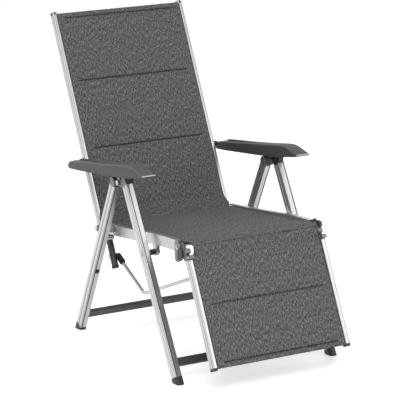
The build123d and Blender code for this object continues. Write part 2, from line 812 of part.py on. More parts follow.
with BuildPart() as armrest_pivot_bolts:
    for side_name, side in sides:
        head_start = arm_inner_x + arm_wall + 2 * face_gap
        round_bar(arm_pivot, pivot_pin_radius, side * rail_inner_x, side * head_start)
        round_bar(arm_pivot, bush_radius, side * head_start, side * (head_start + head_height))
finish(armrest_pivot_bolts.part, "armrest_pivot_bolts")


# Padded fabric panels

pad_half_width = rail_inner_x - face_gap
pad_edge_height = 7.0
pad_crown = 5.0
pad_side_crown = 3.0
pad_body = 13.0
back_pad_start = 40.0
back_pad_base = 1.0
legrest_pad_start = 10.0
legrest_pad_end = 366.0
legrest_pad_base = 1.0
back_seam_shares = (0.0, 0.34, 0.68, 1.0)
seat_seam_shares = (0.0, 0.512, 1.0)
legrest_seam_shares = (0.0, 0.43, 1.0)


def pad(start, angle, length, base, seam_shares):
    """Padded panel with a crowned channel between each pair of seams and thin drawn-in sides."""
    frame = lying(start, angle)
    side_frame = Plane(origin=frame.origin, x_dir=frame.y_dir, z_dir=(-1, 0, 0))
    end_frame = Plane(origin=frame.origin, x_dir=(1, 0, 0), z_dir=frame.y_dir)
    low = base
    seam = base + pad_body
    with BuildPart() as body:
        with BuildSketch(side_frame):
            with BuildLine():
                for near, far in zip(seam_shares, seam_shares[1:]):
                    ThreePointArc(
                        (near * length, seam),
                        ((near + far) / 2 * length, seam + pad_crown),
                        (far * length, seam),
                    )
                Line((length, seam), (length, low))
                Line((length, low), (0, low))
                Line((0, low), (0, seam))
            make_face()
        extrude(amount=pad_half_width, both=True)
        with BuildSketch(end_frame):
            with BuildLine():
                crown = seam + pad_crown + pad_side_crown
                edge = low + pad_edge_height
                Line((-pad_half_width, low), (pad_half_width, low))
                Line((pad_half_width, low), (pad_half_width, edge))
                ThreePointArc((pad_half_width, edge), (0, crown), (-pad_half_width, edge))
                Line((-pad_half_width, edge), (-pad_half_width, low))
            make_face()
        extrude(amount=length + overrun, both=True, mode=Mode.INTERSECT)
    return body.part


seat_pad_length = (seat_pad_end - seat_pad_start) / cos(radians(seat_angle))
finish(pad(seat_pad_place, seat_angle, seat_pad_length, seat_pad_base, seat_seam_shares), "seat_pad")

back_pad_length = back_rail_reach - back_pad_start
finish(pad(back_top, lever_angle, back_pad_length, back_pad_base, back_seam_shares), "back_pad")

legrest_pad_place = moved(legrest_rail_start, legrest_pad_start, legrest_angle)
legrest_pad_length = legrest_pad_end - legrest_pad_start
finish(
    pad(legrest_pad_place, legrest_angle, legrest_pad_length, legrest_pad_base, legrest_seam_shares),
    "legrest_pad",
)
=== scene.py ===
import json
import math

import bmesh
import bpy
from mathutils import Matrix, Vector


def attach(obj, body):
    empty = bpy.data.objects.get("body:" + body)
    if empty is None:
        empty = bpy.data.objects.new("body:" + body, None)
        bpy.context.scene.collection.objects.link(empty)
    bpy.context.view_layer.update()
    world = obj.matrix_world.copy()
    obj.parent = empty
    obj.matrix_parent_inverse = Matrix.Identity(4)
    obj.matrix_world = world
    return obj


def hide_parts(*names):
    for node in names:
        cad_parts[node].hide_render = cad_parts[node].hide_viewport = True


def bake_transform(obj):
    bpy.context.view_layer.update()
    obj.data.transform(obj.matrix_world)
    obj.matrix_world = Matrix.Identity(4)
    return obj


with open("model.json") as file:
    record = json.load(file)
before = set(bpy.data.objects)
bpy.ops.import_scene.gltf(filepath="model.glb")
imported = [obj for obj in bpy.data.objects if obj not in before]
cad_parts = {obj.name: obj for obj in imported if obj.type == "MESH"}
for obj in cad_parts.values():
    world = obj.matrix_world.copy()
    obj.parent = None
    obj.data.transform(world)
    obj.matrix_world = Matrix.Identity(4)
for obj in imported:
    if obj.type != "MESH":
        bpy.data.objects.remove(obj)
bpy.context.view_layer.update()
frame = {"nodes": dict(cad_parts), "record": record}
scene = bpy.context.scene
scene.view_settings.view_transform = "Standard"

sides = (("right", -1), ("left", 1))

# side-view places are (forward, height) in metres, forward from the rear feet
chair = {
    "depthOrigin": 0.35904,
    "backHinge": (0.115, 0.397),
    "backAngle": 114.9,
    "backReach": 0.815,
    "legrestStart": (0.787, 0.423),
    "legrestAngle": -65.1,
    "seatStart": (0.168, 0.4096),
    "seatAngle": 5.27,
    "crease": (0.167, 0.4215),
    "frontSeam": (0.7855, 0.471),
    "armPivot": (0.00806, 0.62739),
    "armAngle": 6.7,
    "armCenterX": 0.3025,
    "legCenterX": 0.302,
    "railOuterX": 0.267,
    "railInnerX": 0.249,
}


def stepFrom(place, reach, angle, lift=0.0):
    turn = math.radians(angle)
    ahead = place[0] + reach * math.cos(turn) - lift * math.sin(turn)
    return (ahead, place[1] + reach * math.sin(turn) + lift * math.cos(turn))


def spot(place, x=0.0):
    return Vector((x, chair["depthOrigin"] - place[0], place[1]))


def sideFrame(place, angle, x=0.0):
    # local x to the sitter's right, local y along the angle, local z square to it and upwards
    turn = math.radians(angle)
    along = Vector((0, -math.cos(turn), math.sin(turn)))
    up = Vector((0, math.sin(turn), math.cos(turn)))
    across = along.cross(up)
    matrix = Matrix((across, along, up)).transposed().to_4x4()
    matrix.translation = spot(place, x)
    return matrix


def deselectAll():
    if bpy.context.object and bpy.context.object.mode == "EDIT":
        bpy.ops.object.mode_set(mode="OBJECT")
    bpy.ops.object.select_all(action="DESELECT")


def makeActive(piece):
    deselectAll()
    piece.select_set(True)
    bpy.context.view_layer.objects.active = piece


def named(name):
    piece = bpy.context.object
    piece.name = name
    piece.data.name = name
    return piece


def addBlock(name, size, center=(0, 0, 0)):
    deselectAll()
    bpy.ops.mesh.primitive_cube_add(size=1, location=center, scale=size)
    block = named(name)
    bpy.ops.object.transform_apply(location=True, rotation=True, scale=True)
    return block


def applyModifier(piece, kind, **values):
    makeActive(piece)
    modifier = piece.modifiers.new(kind.lower(), kind)
    for key, value in values.items():
        setattr(modifier, key, value)
    bpy.ops.object.modifier_apply(modifier=modifier.name)


def pick(piece, test, mode="VERT"):
    # edit mode with only the elements that pass the test selected
    makeActive(piece)
    bpy.ops.object.mode_set(mode="EDIT")
    bpy.ops.mesh.select_mode(type=mode)
    bpy.ops.mesh.select_all(action="DESELECT")
    shape = bmesh.from_edit_mesh(piece.data)
    if mode == "VERT":
        for vert in shape.verts:
            vert.select = test(vert.co)
    elif mode == "EDGE":
        for edge in shape.edges:
            edge.select = test(edge.verts[0].co, edge.verts[1].co)
    else:
        for face in shape.faces:
            face.select = test(face.calc_center_median(), face.normal)
    shape.select_flush_mode()
    bmesh.update_edit_mesh(piece.data)


def cutAt(piece, places, normal):
    for place in places:
        makeActive(piece)
        bpy.ops.object.mode_set(mode="EDIT")
        bpy.ops.mesh.select_all(action="SELECT")
        bpy.ops.mesh.bisect(plane_co=Vector(normal) * place, plane_no=normal)
    bpy.ops.object.mode_set(mode="OBJECT")


def settle(piece, matrix, smoothAngle=35):
    # the piece's place goes into its mesh
    bpy.ops.object.mode_set(mode="OBJECT")
    piece.data.transform(matrix)
    makeActive(piece)
    bpy.ops.object.mode_set(mode="EDIT")
    bpy.ops.mesh.select_all(action="SELECT")
    bpy.ops.mesh.normals_make_consistent(inside=False)
    bpy.ops.object.mode_set(mode="OBJECT")
    bpy.ops.object.shade_smooth_by_angle(angle=math.radians(smoothAngle))


# marks faces for painted light: painted shade or a painted highlight, by the material's factor
def shadeFaces(piece, levelOf):
    paintedLight = piece.data.attributes.new("paintedLight", "FLOAT", "FACE")
    for face in piece.data.polygons:
        paintedLight.data[face.index].value = levelOf(face)


# materials

def newMaterial(name, color, metallic, roughness):
    material = bpy.data.materials.new(name)
    material.use_nodes = True
    nodes = material.node_tree.nodes
    shader = nodes["Principled BSDF"]
    shader.inputs["Base Color"].default_value = (*color, 1)
    shader.inputs["Metallic"].default_value = metallic
    shader.inputs["Roughness"].default_value = roughness
    return material, nodes, material.node_tree.links, shader


def addNode(nodes, kind, **values):
    node = nodes.new(kind)
    for key, value in values.items():
        if hasattr(node, key):
            setattr(node, key, value)
        else:
            node.inputs[key].default_value = value
    return node


def addMath(nodes, links, operation, first, second=None, third=None):
    node = nodes.new("ShaderNodeMath")
    node.operation = operation
    for index, value in enumerate((first, second, third)):
        if value is None:
            continue
        if isinstance(value, (int, float)):
            node.inputs[index].default_value = value
        else:
            links.new(value, node.inputs[index])
    return node.outputs[0]


def noiseValue(nodes, links, coordinates, scale, detail):
    noise = addNode(nodes, "ShaderNodeTexNoise", Scale=scale, Detail=detail)
    links.new(coordinates, noise.inputs["Vector"])
    return noise.outputs["Fac"]


def rampColor(nodes, links, value, stops):
    # the first and last stop are the ramp's own two elements
    ramp = nodes.new("ShaderNodeValToRGB")
    elements = ramp.color_ramp.elements
    for element, (position, color) in zip(elements, (stops[0], stops[-1])):
        element.position = position
        element.color = (*color, 1)
    for position, color in stops[1:-1]:
        elements.new(position).color = (*color, 1)
    links.new(value, ramp.inputs["Fac"])
    return ramp.outputs["Color"]


def spanNode(nodes, links, value, zeroAt, oneAt):
    # 0 at the first value and 1 at the second, with a soft run between
    span = nodes.new("ShaderNodeMapRange")
    span.interpolation_type = "SMOOTHSTEP"
    rising = zeroAt < oneAt
    span.inputs["From Min"].default_value = min(zeroAt, oneAt)
    span.inputs["From Max"].default_value = max(zeroAt, oneAt)
    span.inputs["To Min"].default_value = 0.0 if rising else 1.0
    span.inputs["To Max"].default_value = 1.0 if rising else 0.0
    links.new(value, span.inputs["Value"])
    return span.outputs["Result"]


def mixColor(nodes, links, share, color, other):
    paint = nodes.new("ShaderNodeMix")
    paint.data_type = "RGBA"
    links.new(share, paint.inputs["Factor"])
    links.new(color, paint.inputs[6])
    paint.inputs[7].default_value = (*other, 1)
    return paint.outputs[2]


def addBump(nodes, links, shader, height, strength, distance):
    bump = addNode(nodes, "ShaderNodeBump", Strength=strength, Distance=distance)
    links.new(height, bump.inputs["Height"])
    links.new(bump.outputs["Normal"], shader.inputs["Normal"])


metalPatch = {"low": 0.3, "high": 0.7, "detail": 2.0, "grainDetail": 3.0}


def metalMaterial(name, look):
    material, nodes, links, shader = newMaterial(name, look["color"], look["metallic"], look["roughness"])
    coordinates = nodes.new("ShaderNodeTexCoord").outputs["Object"]
    darker = tuple(channel * look["mottle"] for channel in look["color"])
    patch = noiseValue(nodes, links, coordinates, look["patch"], metalPatch["detail"])
    color = rampColor(nodes, links, patch, ((metalPatch["low"], darker), (metalPatch["high"], look["color"])))
    # the colour is mixed towards a multiple of itself on marked faces: painted shade below 1, a painted
    # highlight above 1
    paintedLight = addNode(nodes, "ShaderNodeAttribute", attribute_name="paintedLight")
    shaded = tuple(channel * look["paintedLight"] for channel in look["color"])
    links.new(mixColor(nodes, links, paintedLight.outputs["Fac"], color, shaded), shader.inputs["Base Color"])
    grain = noiseValue(nodes, links, coordinates, look["grain"], metalPatch["grainDetail"])
    rough = addNode(nodes, "ShaderNodeMapRange")
    rough.inputs["To Min"].default_value = look["roughness"] - look["roughSpan"]
    rough.inputs["To Max"].default_value = look["roughness"] + look["roughSpan"]
    links.new(grain, rough.inputs["Value"])
    links.new(rough.outputs["Result"], shader.inputs["Roughness"])
    addBump(nodes, links, shader, grain, look["bump"], look["bumpDepth"])
    return material


# the factor below scales the colour on a piece's marked faces: painted shade where it is below 1, a painted
# highlight where it is above 1
metalLooks = {
    # the silver's factor paints shade into the tube grooves and the lines along the corners
    "silver_aluminium": {
        "color": (0.53, 0.53, 0.54), "metallic": 0.85, "roughness": 0.32, "roughSpan": 0.06, "paintedLight": 0.16,
        "mottle": 0.93, "patch": 9.0, "grain": 900.0, "bump": 0.10, "bumpDepth": 0.0002,
    },
    "anthracite_aluminium": {
        "color": (0.075, 0.077, 0.083), "metallic": 0.35, "roughness": 0.46, "roughSpan": 0.08, "paintedLight": 0.5,
        "mottle": 0.85, "patch": 14.0, "grain": 1400.0, "bump": 0.22, "bumpDepth": 0.0003,
    },
    "grey_casting": {
        "color": (0.20, 0.20, 0.21), "metallic": 0.6, "roughness": 0.36, "roughSpan": 0.10, "paintedLight": 0.5,
        "mottle": 0.75, "patch": 60.0, "grain": 700.0, "bump": 0.25, "bumpDepth": 0.0004,
    },
    "steel": {
        "color": (0.52, 0.52, 0.54), "metallic": 1.0, "roughness": 0.26, "roughSpan": 0.08, "paintedLight": 0.5,
        "mottle": 0.8, "patch": 80.0, "grain": 1100.0, "bump": 0.12, "bumpDepth": 0.0002,
    },
    # the anthracite plastic's factor gives the armrest nose a painted highlight
    "anthracite_plastic": {
        "color": (0.052, 0.052, 0.056), "metallic": 0.0, "roughness": 0.56, "roughSpan": 0.07, "paintedLight": 8.0,
        "mottle": 0.88, "patch": 30.0, "grain": 1500.0, "bump": 0.35, "bumpDepth": 0.0003,
    },
    "black_plastic": {
        "color": (0.016, 0.016, 0.017), "metallic": 0.0, "roughness": 0.5, "roughSpan": 0.1, "paintedLight": 0.5,
        "mottle": 0.6, "patch": 90.0, "grain": 1200.0, "bump": 0.3, "bumpDepth": 0.0003,
    },
}
materials = {name: metalMaterial(name, look) for name, look in metalLooks.items()}

fabricLook = {
    "dark": (0.031, 0.030, 0.033),
    "middle": (0.088, 0.086, 0.092),
    "light": (0.245, 0.240, 0.252),
    "darkAt": 0.38,
    "middleAt": 0.5,
    "lightAt": 0.62,
    "roughness": 0.92,
    "yarnScale": (820.0, 150.0, 1),
    "yarnDetail": 1.0,
    "slubScale": (380.0, 70.0, 1),
    "slubDetail": 2.0,
    "weavePitch": 0.0016,
    "weaveShare": 0.35,
    "weaveDepth": 0.0006,
    "bump": 0.7,
    "seamEndFade": 0.006,
    "channelHalf": 0.0034,
    "channelFloor": 0.25,
    "channelShade": 0.24,
    "edgeStart": 0.2445,
    "edgeFade": 0.004,
    "edgeShade": 0.45,
    "stitchLength": 0.0042,
    "stitchBreak": 0.3,
    "stitchWidth": 0.0006,
    "stitchShare": 0.6,
    "stitchHeight": 1.2,
    "threadColor": (0.10, 0.10, 0.105),
    "sheen": 0.04,
    "sheenRoughness": 0.5,
    "specular": 0.2,
}


def threadNoise(nodes, links, coordinates, scale, detail):
    mapping = addNode(nodes, "ShaderNodeMapping")
    mapping.inputs["Scale"].default_value = scale
    links.new(coordinates, mapping.inputs["Vector"])
    return noiseValue(nodes, links, mapping.outputs["Vector"], 1.0, detail)


def fabricMaterial(name, seams, seamHalf):
    look = fabricLook
    material, nodes, links, shader = newMaterial(name, look["middle"], 0.0, look["roughness"])

    def calc(operation, *values):
        return addMath(nodes, links, operation, *values)

    cloth = nodes.new("ShaderNodeUVMap")
    cloth.uv_map = "cloth"
    yarn = threadNoise(nodes, links, cloth.outputs["UV"], look["yarnScale"], look["yarnDetail"])
    slub = threadNoise(nodes, links, cloth.outputs["UV"], look["slubScale"], look["slubDetail"])
    mottle = calc("MULTIPLY", calc("ADD", yarn, slub), 0.5)
    stops = [(look[tone + "At"], look[tone]) for tone in ("dark", "middle", "light")]
    color = rampColor(nodes, links, mottle, stops)

    place = nodes.new("ShaderNodeSeparateXYZ")
    links.new(cloth.outputs["UV"], place.inputs["Vector"])
    across, along = place.outputs["X"], place.outputs["Y"]
    aside = calc("ABSOLUTE", across)
    turns = math.tau / look["weavePitch"]
    warp, weft = (calc("SINE", calc("MULTIPLY", way, turns)) for way in (across, along))
    height = calc("MULTIPLY_ADD", calc("MULTIPLY", warp, weft), look["weaveShare"], yarn)

    # each seam is a channel of painted shade with a running stitch in it, and stops short of the rails
    inside = spanNode(nodes, links, aside, seamHalf + look["seamEndFade"], seamHalf - look["seamEndFade"])
    dash = calc("PINGPONG", across, look["stitchLength"])
    dashOn = calc("GREATER_THAN", dash, look["stitchLength"] * look["stitchBreak"])
    channel, stitch = None, None
    for seam, depth in seams:
        away = calc("ABSOLUTE", calc("SUBTRACT", along, seam))
        near = spanNode(nodes, links, away, look["channelHalf"], look["channelHalf"] * look["channelFloor"])
        near = calc("MULTIPLY", near, depth)
        line = calc("LESS_THAN", away, look["stitchWidth"])
        channel = near if channel is None else calc("MAXIMUM", channel, near)
        stitch = line if stitch is None else calc("MAXIMUM", stitch, line)
    channel = calc("MULTIPLY", channel, inside)
    stitch = calc("MULTIPLY", calc("MULTIPLY", stitch, inside), dashOn)
    # painted shadow: a dark band along both side edges, where the pad meets the rails
    edge = spanNode(nodes, links, aside, look["edgeStart"], look["edgeStart"] + look["edgeFade"])
    # painted shade darkens the colour along each seam
    seamPaintedShade = calc("MULTIPLY_ADD", channel, look["channelShade"] - 1, 1.0)
    railPaintedShadow = calc("MULTIPLY_ADD", edge, look["edgeShade"] - 1, 1.0)
    darken = nodes.new("ShaderNodeVectorMath")
    darken.operation = "SCALE"
    links.new(color, darken.inputs[0])
    links.new(calc("MULTIPLY", seamPaintedShade, railPaintedShadow), darken.inputs["Scale"])
    thread = calc("MULTIPLY", stitch, look["stitchShare"])
    paint = mixColor(nodes, links, thread, darken.outputs["Vector"], look["threadColor"])
    links.new(paint, shader.inputs["Base Color"])
    shader.inputs["Sheen Weight"].default_value = look["sheen"]
    shader.inputs["Specular IOR Level"].default_value = look["specular"]
    shader.inputs["Sheen Roughness"].default_value = look["sheenRoughness"]
    height = calc("MULTIPLY_ADD", stitch, look["stitchHeight"], height)
    addBump(nodes, links, shader, height, look["bump"], look["weaveDepth"])
    return material


print("materials ready:", len(materials))

for row in frame["record"]["subparts"]:
    node = frame["nodes"][row["node"]]
    finish = materials.get(row["material_slot"])
    if finish:
        for index in range(len(node.material_slots)):
            node.material_slots[index].material = finish
        if not node.material_slots:
            node.data.materials.append(finish)


def finishPiece(piece, finish):
    piece.data.materials.append(materials[finish])
    return piece


# drawn tubes: rounded corners, a pressed groove on each side with painted shade in it, and a painted dark
# line of shade along the corners

tubeLook = {
    "cornerSteps": 4,
    "slope": 0.0004,
    "flush": 1e-4,
    "grooveDeep": 2e-4,
    "faceBand": 0.003,
    "sideShade": 0.45,
    "cornerNormal": 0.45,
    "cornerShade": 0.75,
    "legs": {
        "thickness": 0.025, "depth": 0.038, "corner": 0.0032, "sideGrooves": ((0.0, 0.0026),),
        "faceGrooves": ((0.0070, 0.0020),), "groove": 0.0012, "faceShade": 1.0,
    },
    "rails": {
        "thickness": 0.018, "depth": 0.025, "corner": 0.0034, "sideGrooves": ((-0.0005, 0.0015),),
        "faceGrooves": ((0.0034, 0.0008),), "groove": 0.0010, "faceShade": 0.5,
    },
}


def grooveEdges(grooves):
    return [place for middle, wide in grooves for place in (middle - wide, middle + wide)]


def groovedTube(name, kind, start, angle, nearEnd, farEnd, side, center):
    look = tubeLook[kind]
    half = (look["thickness"] / 2, look["depth"] / 2)
    outer = -side
    size = (look["thickness"], farEnd - nearEnd, look["depth"])
    tube = addBlock(name, size, (0, (nearEnd + farEnd) / 2, 0))
    pick(tube, lambda a, b: abs(a.y - b.y) > 0.01, "EDGE")
    bpy.ops.mesh.bevel(offset=look["corner"], segments=tubeLook["cornerSteps"], profile=0.5)
    cutAt(tube, [outer * place for place in grooveEdges(look["faceGrooves"])], (1, 0, 0))
    cutAt(tube, grooveEdges(look["sideGrooves"]), (0, 0, 1))

    def inGroove(middlePoint, normal):
        if abs(normal.x) > 0.99 and abs(middlePoint.x) > half[0] - tubeLook["flush"]:
            return any(abs(middlePoint.z - middle) < wide for middle, wide in look["sideGrooves"])
        if abs(normal.z) > 0.99 and abs(middlePoint.z) > half[1] - tubeLook["flush"]:
            return any(abs(middlePoint.x - outer * middle) < wide for middle, wide in look["faceGrooves"])
        return False

    def shadeOf(face):
        # grooves take painted shade, and the corners have a painted dark line of shade
        deep = min(half[0] - abs(face.center.x), half[1] - abs(face.center.z))
        atCorner = min(abs(face.normal.x), abs(face.normal.z)) > tubeLook["cornerNormal"]
        if abs(face.normal.y) < 0.5 and deep > tubeLook["grooveDeep"] and not atCorner:
            onFace = abs(face.center.z) > half[1] - tubeLook["faceBand"]
            return look["faceShade"] if onFace else tubeLook["sideShade"]
        return tubeLook["cornerShade"] * atCorner

    pick(tube, inGroove, "FACE")
    bpy.ops.mesh.inset(thickness=tubeLook["slope"], depth=-look["groove"])
    bpy.ops.object.mode_set(mode="OBJECT")
    # painted shade: the grooves' and corners' faces are marked to take a darker colour
    shadeFaces(tube, shadeOf)
    settle(tube, sideFrame(start, angle, side * center), 30)
    return finishPiece(tube, "silver_aluminium")


legTubes = {
    "rear": {"foot": (0.0, 0.0), "angle": 61.0058, "low": 0.0137, "high": 0.6950},
    "front": {"foot": (0.769, 0.0), "angle": 118.6506, "low": 0.0137, "high": 0.7050},
}
railTubes = {
    "back": {"start": chair["backHinge"], "low": -0.014, "high": chair["backReach"] - 0.002},
    "legrest": {"start": chair["legrestStart"], "low": 0.0, "high": 0.374},
}
railCenter = (chair["railOuterX"] + chair["railInnerX"]) / 2
for sideName, side in sides:
    for place, look in legTubes.items():
        leg = groovedTube(f"{place}LegTube_{sideName}", "legs", look["foot"], look["angle"], look["low"],
                          look["high"], side, chair["legCenterX"])
        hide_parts(f"{place}_leg_{sideName}")
        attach(leg, f"{place}_legs")
    for place, look in railTubes.items():
        rail = groovedTube(f"{place}RailTube_{sideName}", "rails", look["start"], chair[place + "Angle"],
                           look["low"], look["high"], side, railCenter)
        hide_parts(f"{place}_rail_{sideName}")
        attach(rail, place)
print("tubes ready")


# apex: a round cap on each rear leg's top and a black block on each front leg's top

roundLook = {
    "around": 48,
    "flat": 1e-6,
    "rimReach": 1e-5,
    "sideReach": 1e-4,
    "barrelFace": 0.22,
    "barrelSlope": 0.06,
    "barrelFloor": 0.10,
    "plateFace": 0.2,
    "plateSlope": 0.08,
    "plateDrop": 0.0006,
}


def addRound(name, radius, ends):
    deselectAll()
    bpy.ops.mesh.primitive_cylinder_add(
        vertices=roundLook["around"], radius=radius, depth=abs(ends[1] - ends[0])
    )
    return named(name)


def onRim(a, b, high):
    return abs(a.z - b.z) < roundLook["flat"] and abs(abs(a.z) - high) < roundLook["rimReach"]


def barrel(name, finish, place, radius, ends, rim, recess=0.0):
    piece = addRound(name, radius, ends)
    pick(piece, lambda center, normal: abs(normal.z) > 0.9, "FACE")
    bpy.ops.mesh.inset(thickness=radius * roundLook["barrelFace"], depth=0)
    if recess:
        bpy.ops.mesh.inset(thickness=radius * roundLook["barrelSlope"], depth=-recess)
        bpy.ops.mesh.inset(thickness=radius * roundLook["barrelFloor"], depth=0)
        bpy.ops.mesh.inset(thickness=radius * roundLook["barrelSlope"], depth=recess)
    high = abs(ends[1] - ends[0]) / 2
    side = radius - roundLook["sideReach"]
    pick(piece, lambda a, b: onRim(a, b, high) and a.xy.length > side and b.xy.length > side, "EDGE")
    bpy.ops.mesh.bevel(offset=rim, segments=3)
    matrix = Matrix.Rotation(math.pi / 2, 4, "Y")
    matrix.translation = spot(place, (ends[0] + ends[1]) / 2)
    settle(piece, matrix)
    return finishPiece(piece, finish)


def stadium(name, finish, near, far, radius, ends, rim=0.0010):
    # a plate with round ends between two places of the side view
    piece = addRound(name, radius, ends)
    pick(piece, lambda co: co.y > roundLook["flat"])
    bpy.ops.transform.translate(value=(0, math.dist(near, far), 0))
    high = abs(ends[1] - ends[0]) / 2
    pick(piece, lambda a, b: onRim(a, b, high), "EDGE")
    bpy.ops.mesh.bevel(offset=rim, segments=2)
    pick(piece, lambda center, normal: abs(normal.z) > 0.99, "FACE")
    bpy.ops.mesh.inset(thickness=radius * roundLook["plateFace"], depth=0)
    bpy.ops.mesh.inset(thickness=radius * roundLook["plateSlope"], depth=-roundLook["plateDrop"])
    turn = math.atan2(far[1] - near[1], far[0] - near[0])
    along = Vector((0, -math.cos(turn), math.sin(turn)))
    across = Vector((1, 0, 0))
    matrix = Matrix((along.cross(across), along, across)).transposed().to_4x4()
    matrix.translation = spot(near, (ends[0] + ends[1]) / 2)
    settle(piece, matrix)
    return finishPiece(piece, finish)


def shapeBlock(name, finish, corners, wide, center, rim=0.0012):
    # a block whose side view is the four corners: low rear, low front, high rear, high front
    block = addBlock(name, (wide, 1, 1))
    # the corners move far aside first, so that a moved corner isn't picked again
    aside = 10
    for across, up, corner in ((1, -1, 0), (-1, -1, 1), (1, 1, 2), (-1, 1, 3)):
        target = spot(corners[corner])
        pick(block, lambda co: co.y * across > 0 and co.z * up > 0 and abs(abs(co.y) - 0.5) < 1e-6)
        bpy.ops.transform.translate(value=(0, target.y + aside - across / 2, target.z - up / 2))
    bpy.ops.mesh.select_all(action="SELECT")
    bpy.ops.mesh.bevel(offset=rim, segments=3, affect="EDGES")
    settle(block, Matrix.Translation((center, -aside, 0)))
    return finishPiece(block, finish)


apexLook = {
    "pin": (0.3870, 0.6220),
    "catch": (0.3870, 0.6436),
    "catchRadius": 0.0105,
    "disc": (0.3418, 0.6170),
    "discRadius": 0.0178,
    "discEnds": (0.2862, 0.3182),
    "discRim": 0.0014,
    "discRecess": 0.0010,
    "earRadius": 0.0120,
    "earFront": (0.4240, 0.6230),
    "rearEarEnds": (0.2895, 0.3015),
    "frontEarEnds": (0.3028, 0.3145),
    "blockCorners": ((0.4165, 0.6110), (0.4478, 0.6278), (0.4215, 0.6480), (0.4545, 0.6510)),
    "blockEnds": (0.2895, 0.3090),
    "cheekCorners": ((0.4146, 0.6085), (0.4470, 0.6265), (0.4100, 0.6440), (0.4330, 0.6490)),
    "cheekEnds": (0.3092, 0.3140),
}
apexEars = {
    "RearEar": ("disc", "pin", "earRadius", "rearEarEnds", "rear_legs"),
    "FrontEar": ("pin", "earFront", "earRadius", "frontEarEnds", "front_legs"),
    "CatchEar": ("pin", "catch", "catchRadius", "frontEarEnds", "front_legs"),
}
housingLook = {
    "low": (0.7475, 0.4300), "high": (0.7490, 0.4690), "radius": 0.0138, "ends": (0.2668, 0.2742),
    "rim": 0.0016,
}
hingeBarrels = {
    "hingeHub": {
        "finish": "grey_casting", "body": "seat", "place": (0.7500, 0.4690), "radius": 0.0108,
        "ends": (0.2735, 0.2800), "rim": 0.0028, "recess": 0.0008,
    },
    "hingeKnuckle": {
        "finish": "grey_casting", "body": "legrest", "place": (0.7740, 0.4530), "radius": 0.0098,
        "ends": (0.2475, 0.2665), "rim": 0.0025, "recess": 0.0008,
    },
    "hingeEnd": {
        "finish": "grey_casting", "body": "legrest", "place": (0.8010, 0.4390), "radius": 0.0070,
        "ends": (0.2480, 0.2655), "rim": 0.0020, "recess": 0.0,
    },
    "hingeKnob": {
        "finish": "steel", "body": "legrest", "place": (0.8010, 0.4390), "radius": 0.0042,
        "ends": (0.2660, 0.2705), "rim": 0.0018, "recess": 0.0,
    },
}


def atSide(side, ends):
    return [side * end for end in ends]


for sideName, side in sides:
    disc = barrel("apexDisc_" + sideName, "grey_casting", apexLook["disc"], apexLook["discRadius"],
                  atSide(side, apexLook["discEnds"]), apexLook["discRim"], apexLook["discRecess"])
    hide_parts("rear_apex_fitting_" + sideName)
    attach(disc, "rear_legs")
    for part, (near, far, radius, ends, body) in apexEars.items():
        ear = stadium(f"apex{part}_{sideName}", "grey_casting", apexLook[near], apexLook[far],
                      apexLook[radius], atSide(side, apexLook[ends]))
        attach(ear, body)
    pieces = {}
    for part, finish in (("block", "black_plastic"), ("cheek", "grey_casting")):
        low, high = apexLook[part + "Ends"]
        pieces[part] = shapeBlock(f"apex{part.capitalize()}_{sideName}", finish,
                                  apexLook[part + "Corners"], high - low, side * (low + high) / 2)
        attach(pieces[part], "front_legs")
    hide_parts("front_apex_fitting_" + sideName)
    housing = stadium("hingeHousing_" + sideName, "anthracite_plastic", housingLook["low"],
                      housingLook["high"], housingLook["radius"], atSide(side, housingLook["ends"]),
                      housingLook["rim"])
    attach(housing, "seat")
    for part, look in hingeBarrels.items():
        piece = barrel(f"{part}_{sideName}", look["finish"], look["place"], look["radius"],
                       atSide(side, look["ends"]), look["rim"], look["recess"])
        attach(piece, look["body"])
print("fittings ready")


# padded sling panels, from the top of the back to the foot end

def bezierPath(knots, steps=40):
    places = []
    for (startPlace, startAngle, _, startHandle), (endPlace, endAngle, endHandle, _) in zip(knots, knots[1:]):
        corners = (
            startPlace,
            stepFrom(startPlace, startHandle, startAngle),
            stepFrom(endPlace, -endHandle, endAngle),
            endPlace,
        )
        for index in range(steps):
            share = index / steps
            rest = 1 - share
            weights = (rest ** 3, 3 * rest * rest * share, 3 * rest * share * share, share ** 3)
            places.append(tuple(sum(w * c[axis] for w, c in zip(weights, corners)) for axis in (0, 1)))
    places.append(knots[-1][0])
    lengths = [0.0]
    for near, far in zip(places, places[1:]):
        lengths.append(lengths[-1] + math.dist(near, far))
    return places, lengths


def pathFrame(path, reach):
    places, lengths = path
    reach = min(max(reach, 0.0), lengths[-1])
    index = 0
    while index < len(lengths) - 2 and lengths[index + 1] < reach:
        index += 1
    share = (reach - lengths[index]) / (lengths[index + 1] - lengths[index])
    near, far = places[index], places[index + 1]
    place = (near[0] + (far[0] - near[0]) * share, near[1] + (far[1] - near[1]) * share)
    before, after = places[max(index - 1, 0)], places[min(index + 2, len(places) - 1)]
    first = math.atan2(far[1] - before[1], far[0] - before[0])
    last = math.atan2(after[1] - near[1], after[0] - near[0])
    return place, first + (last - first) * share


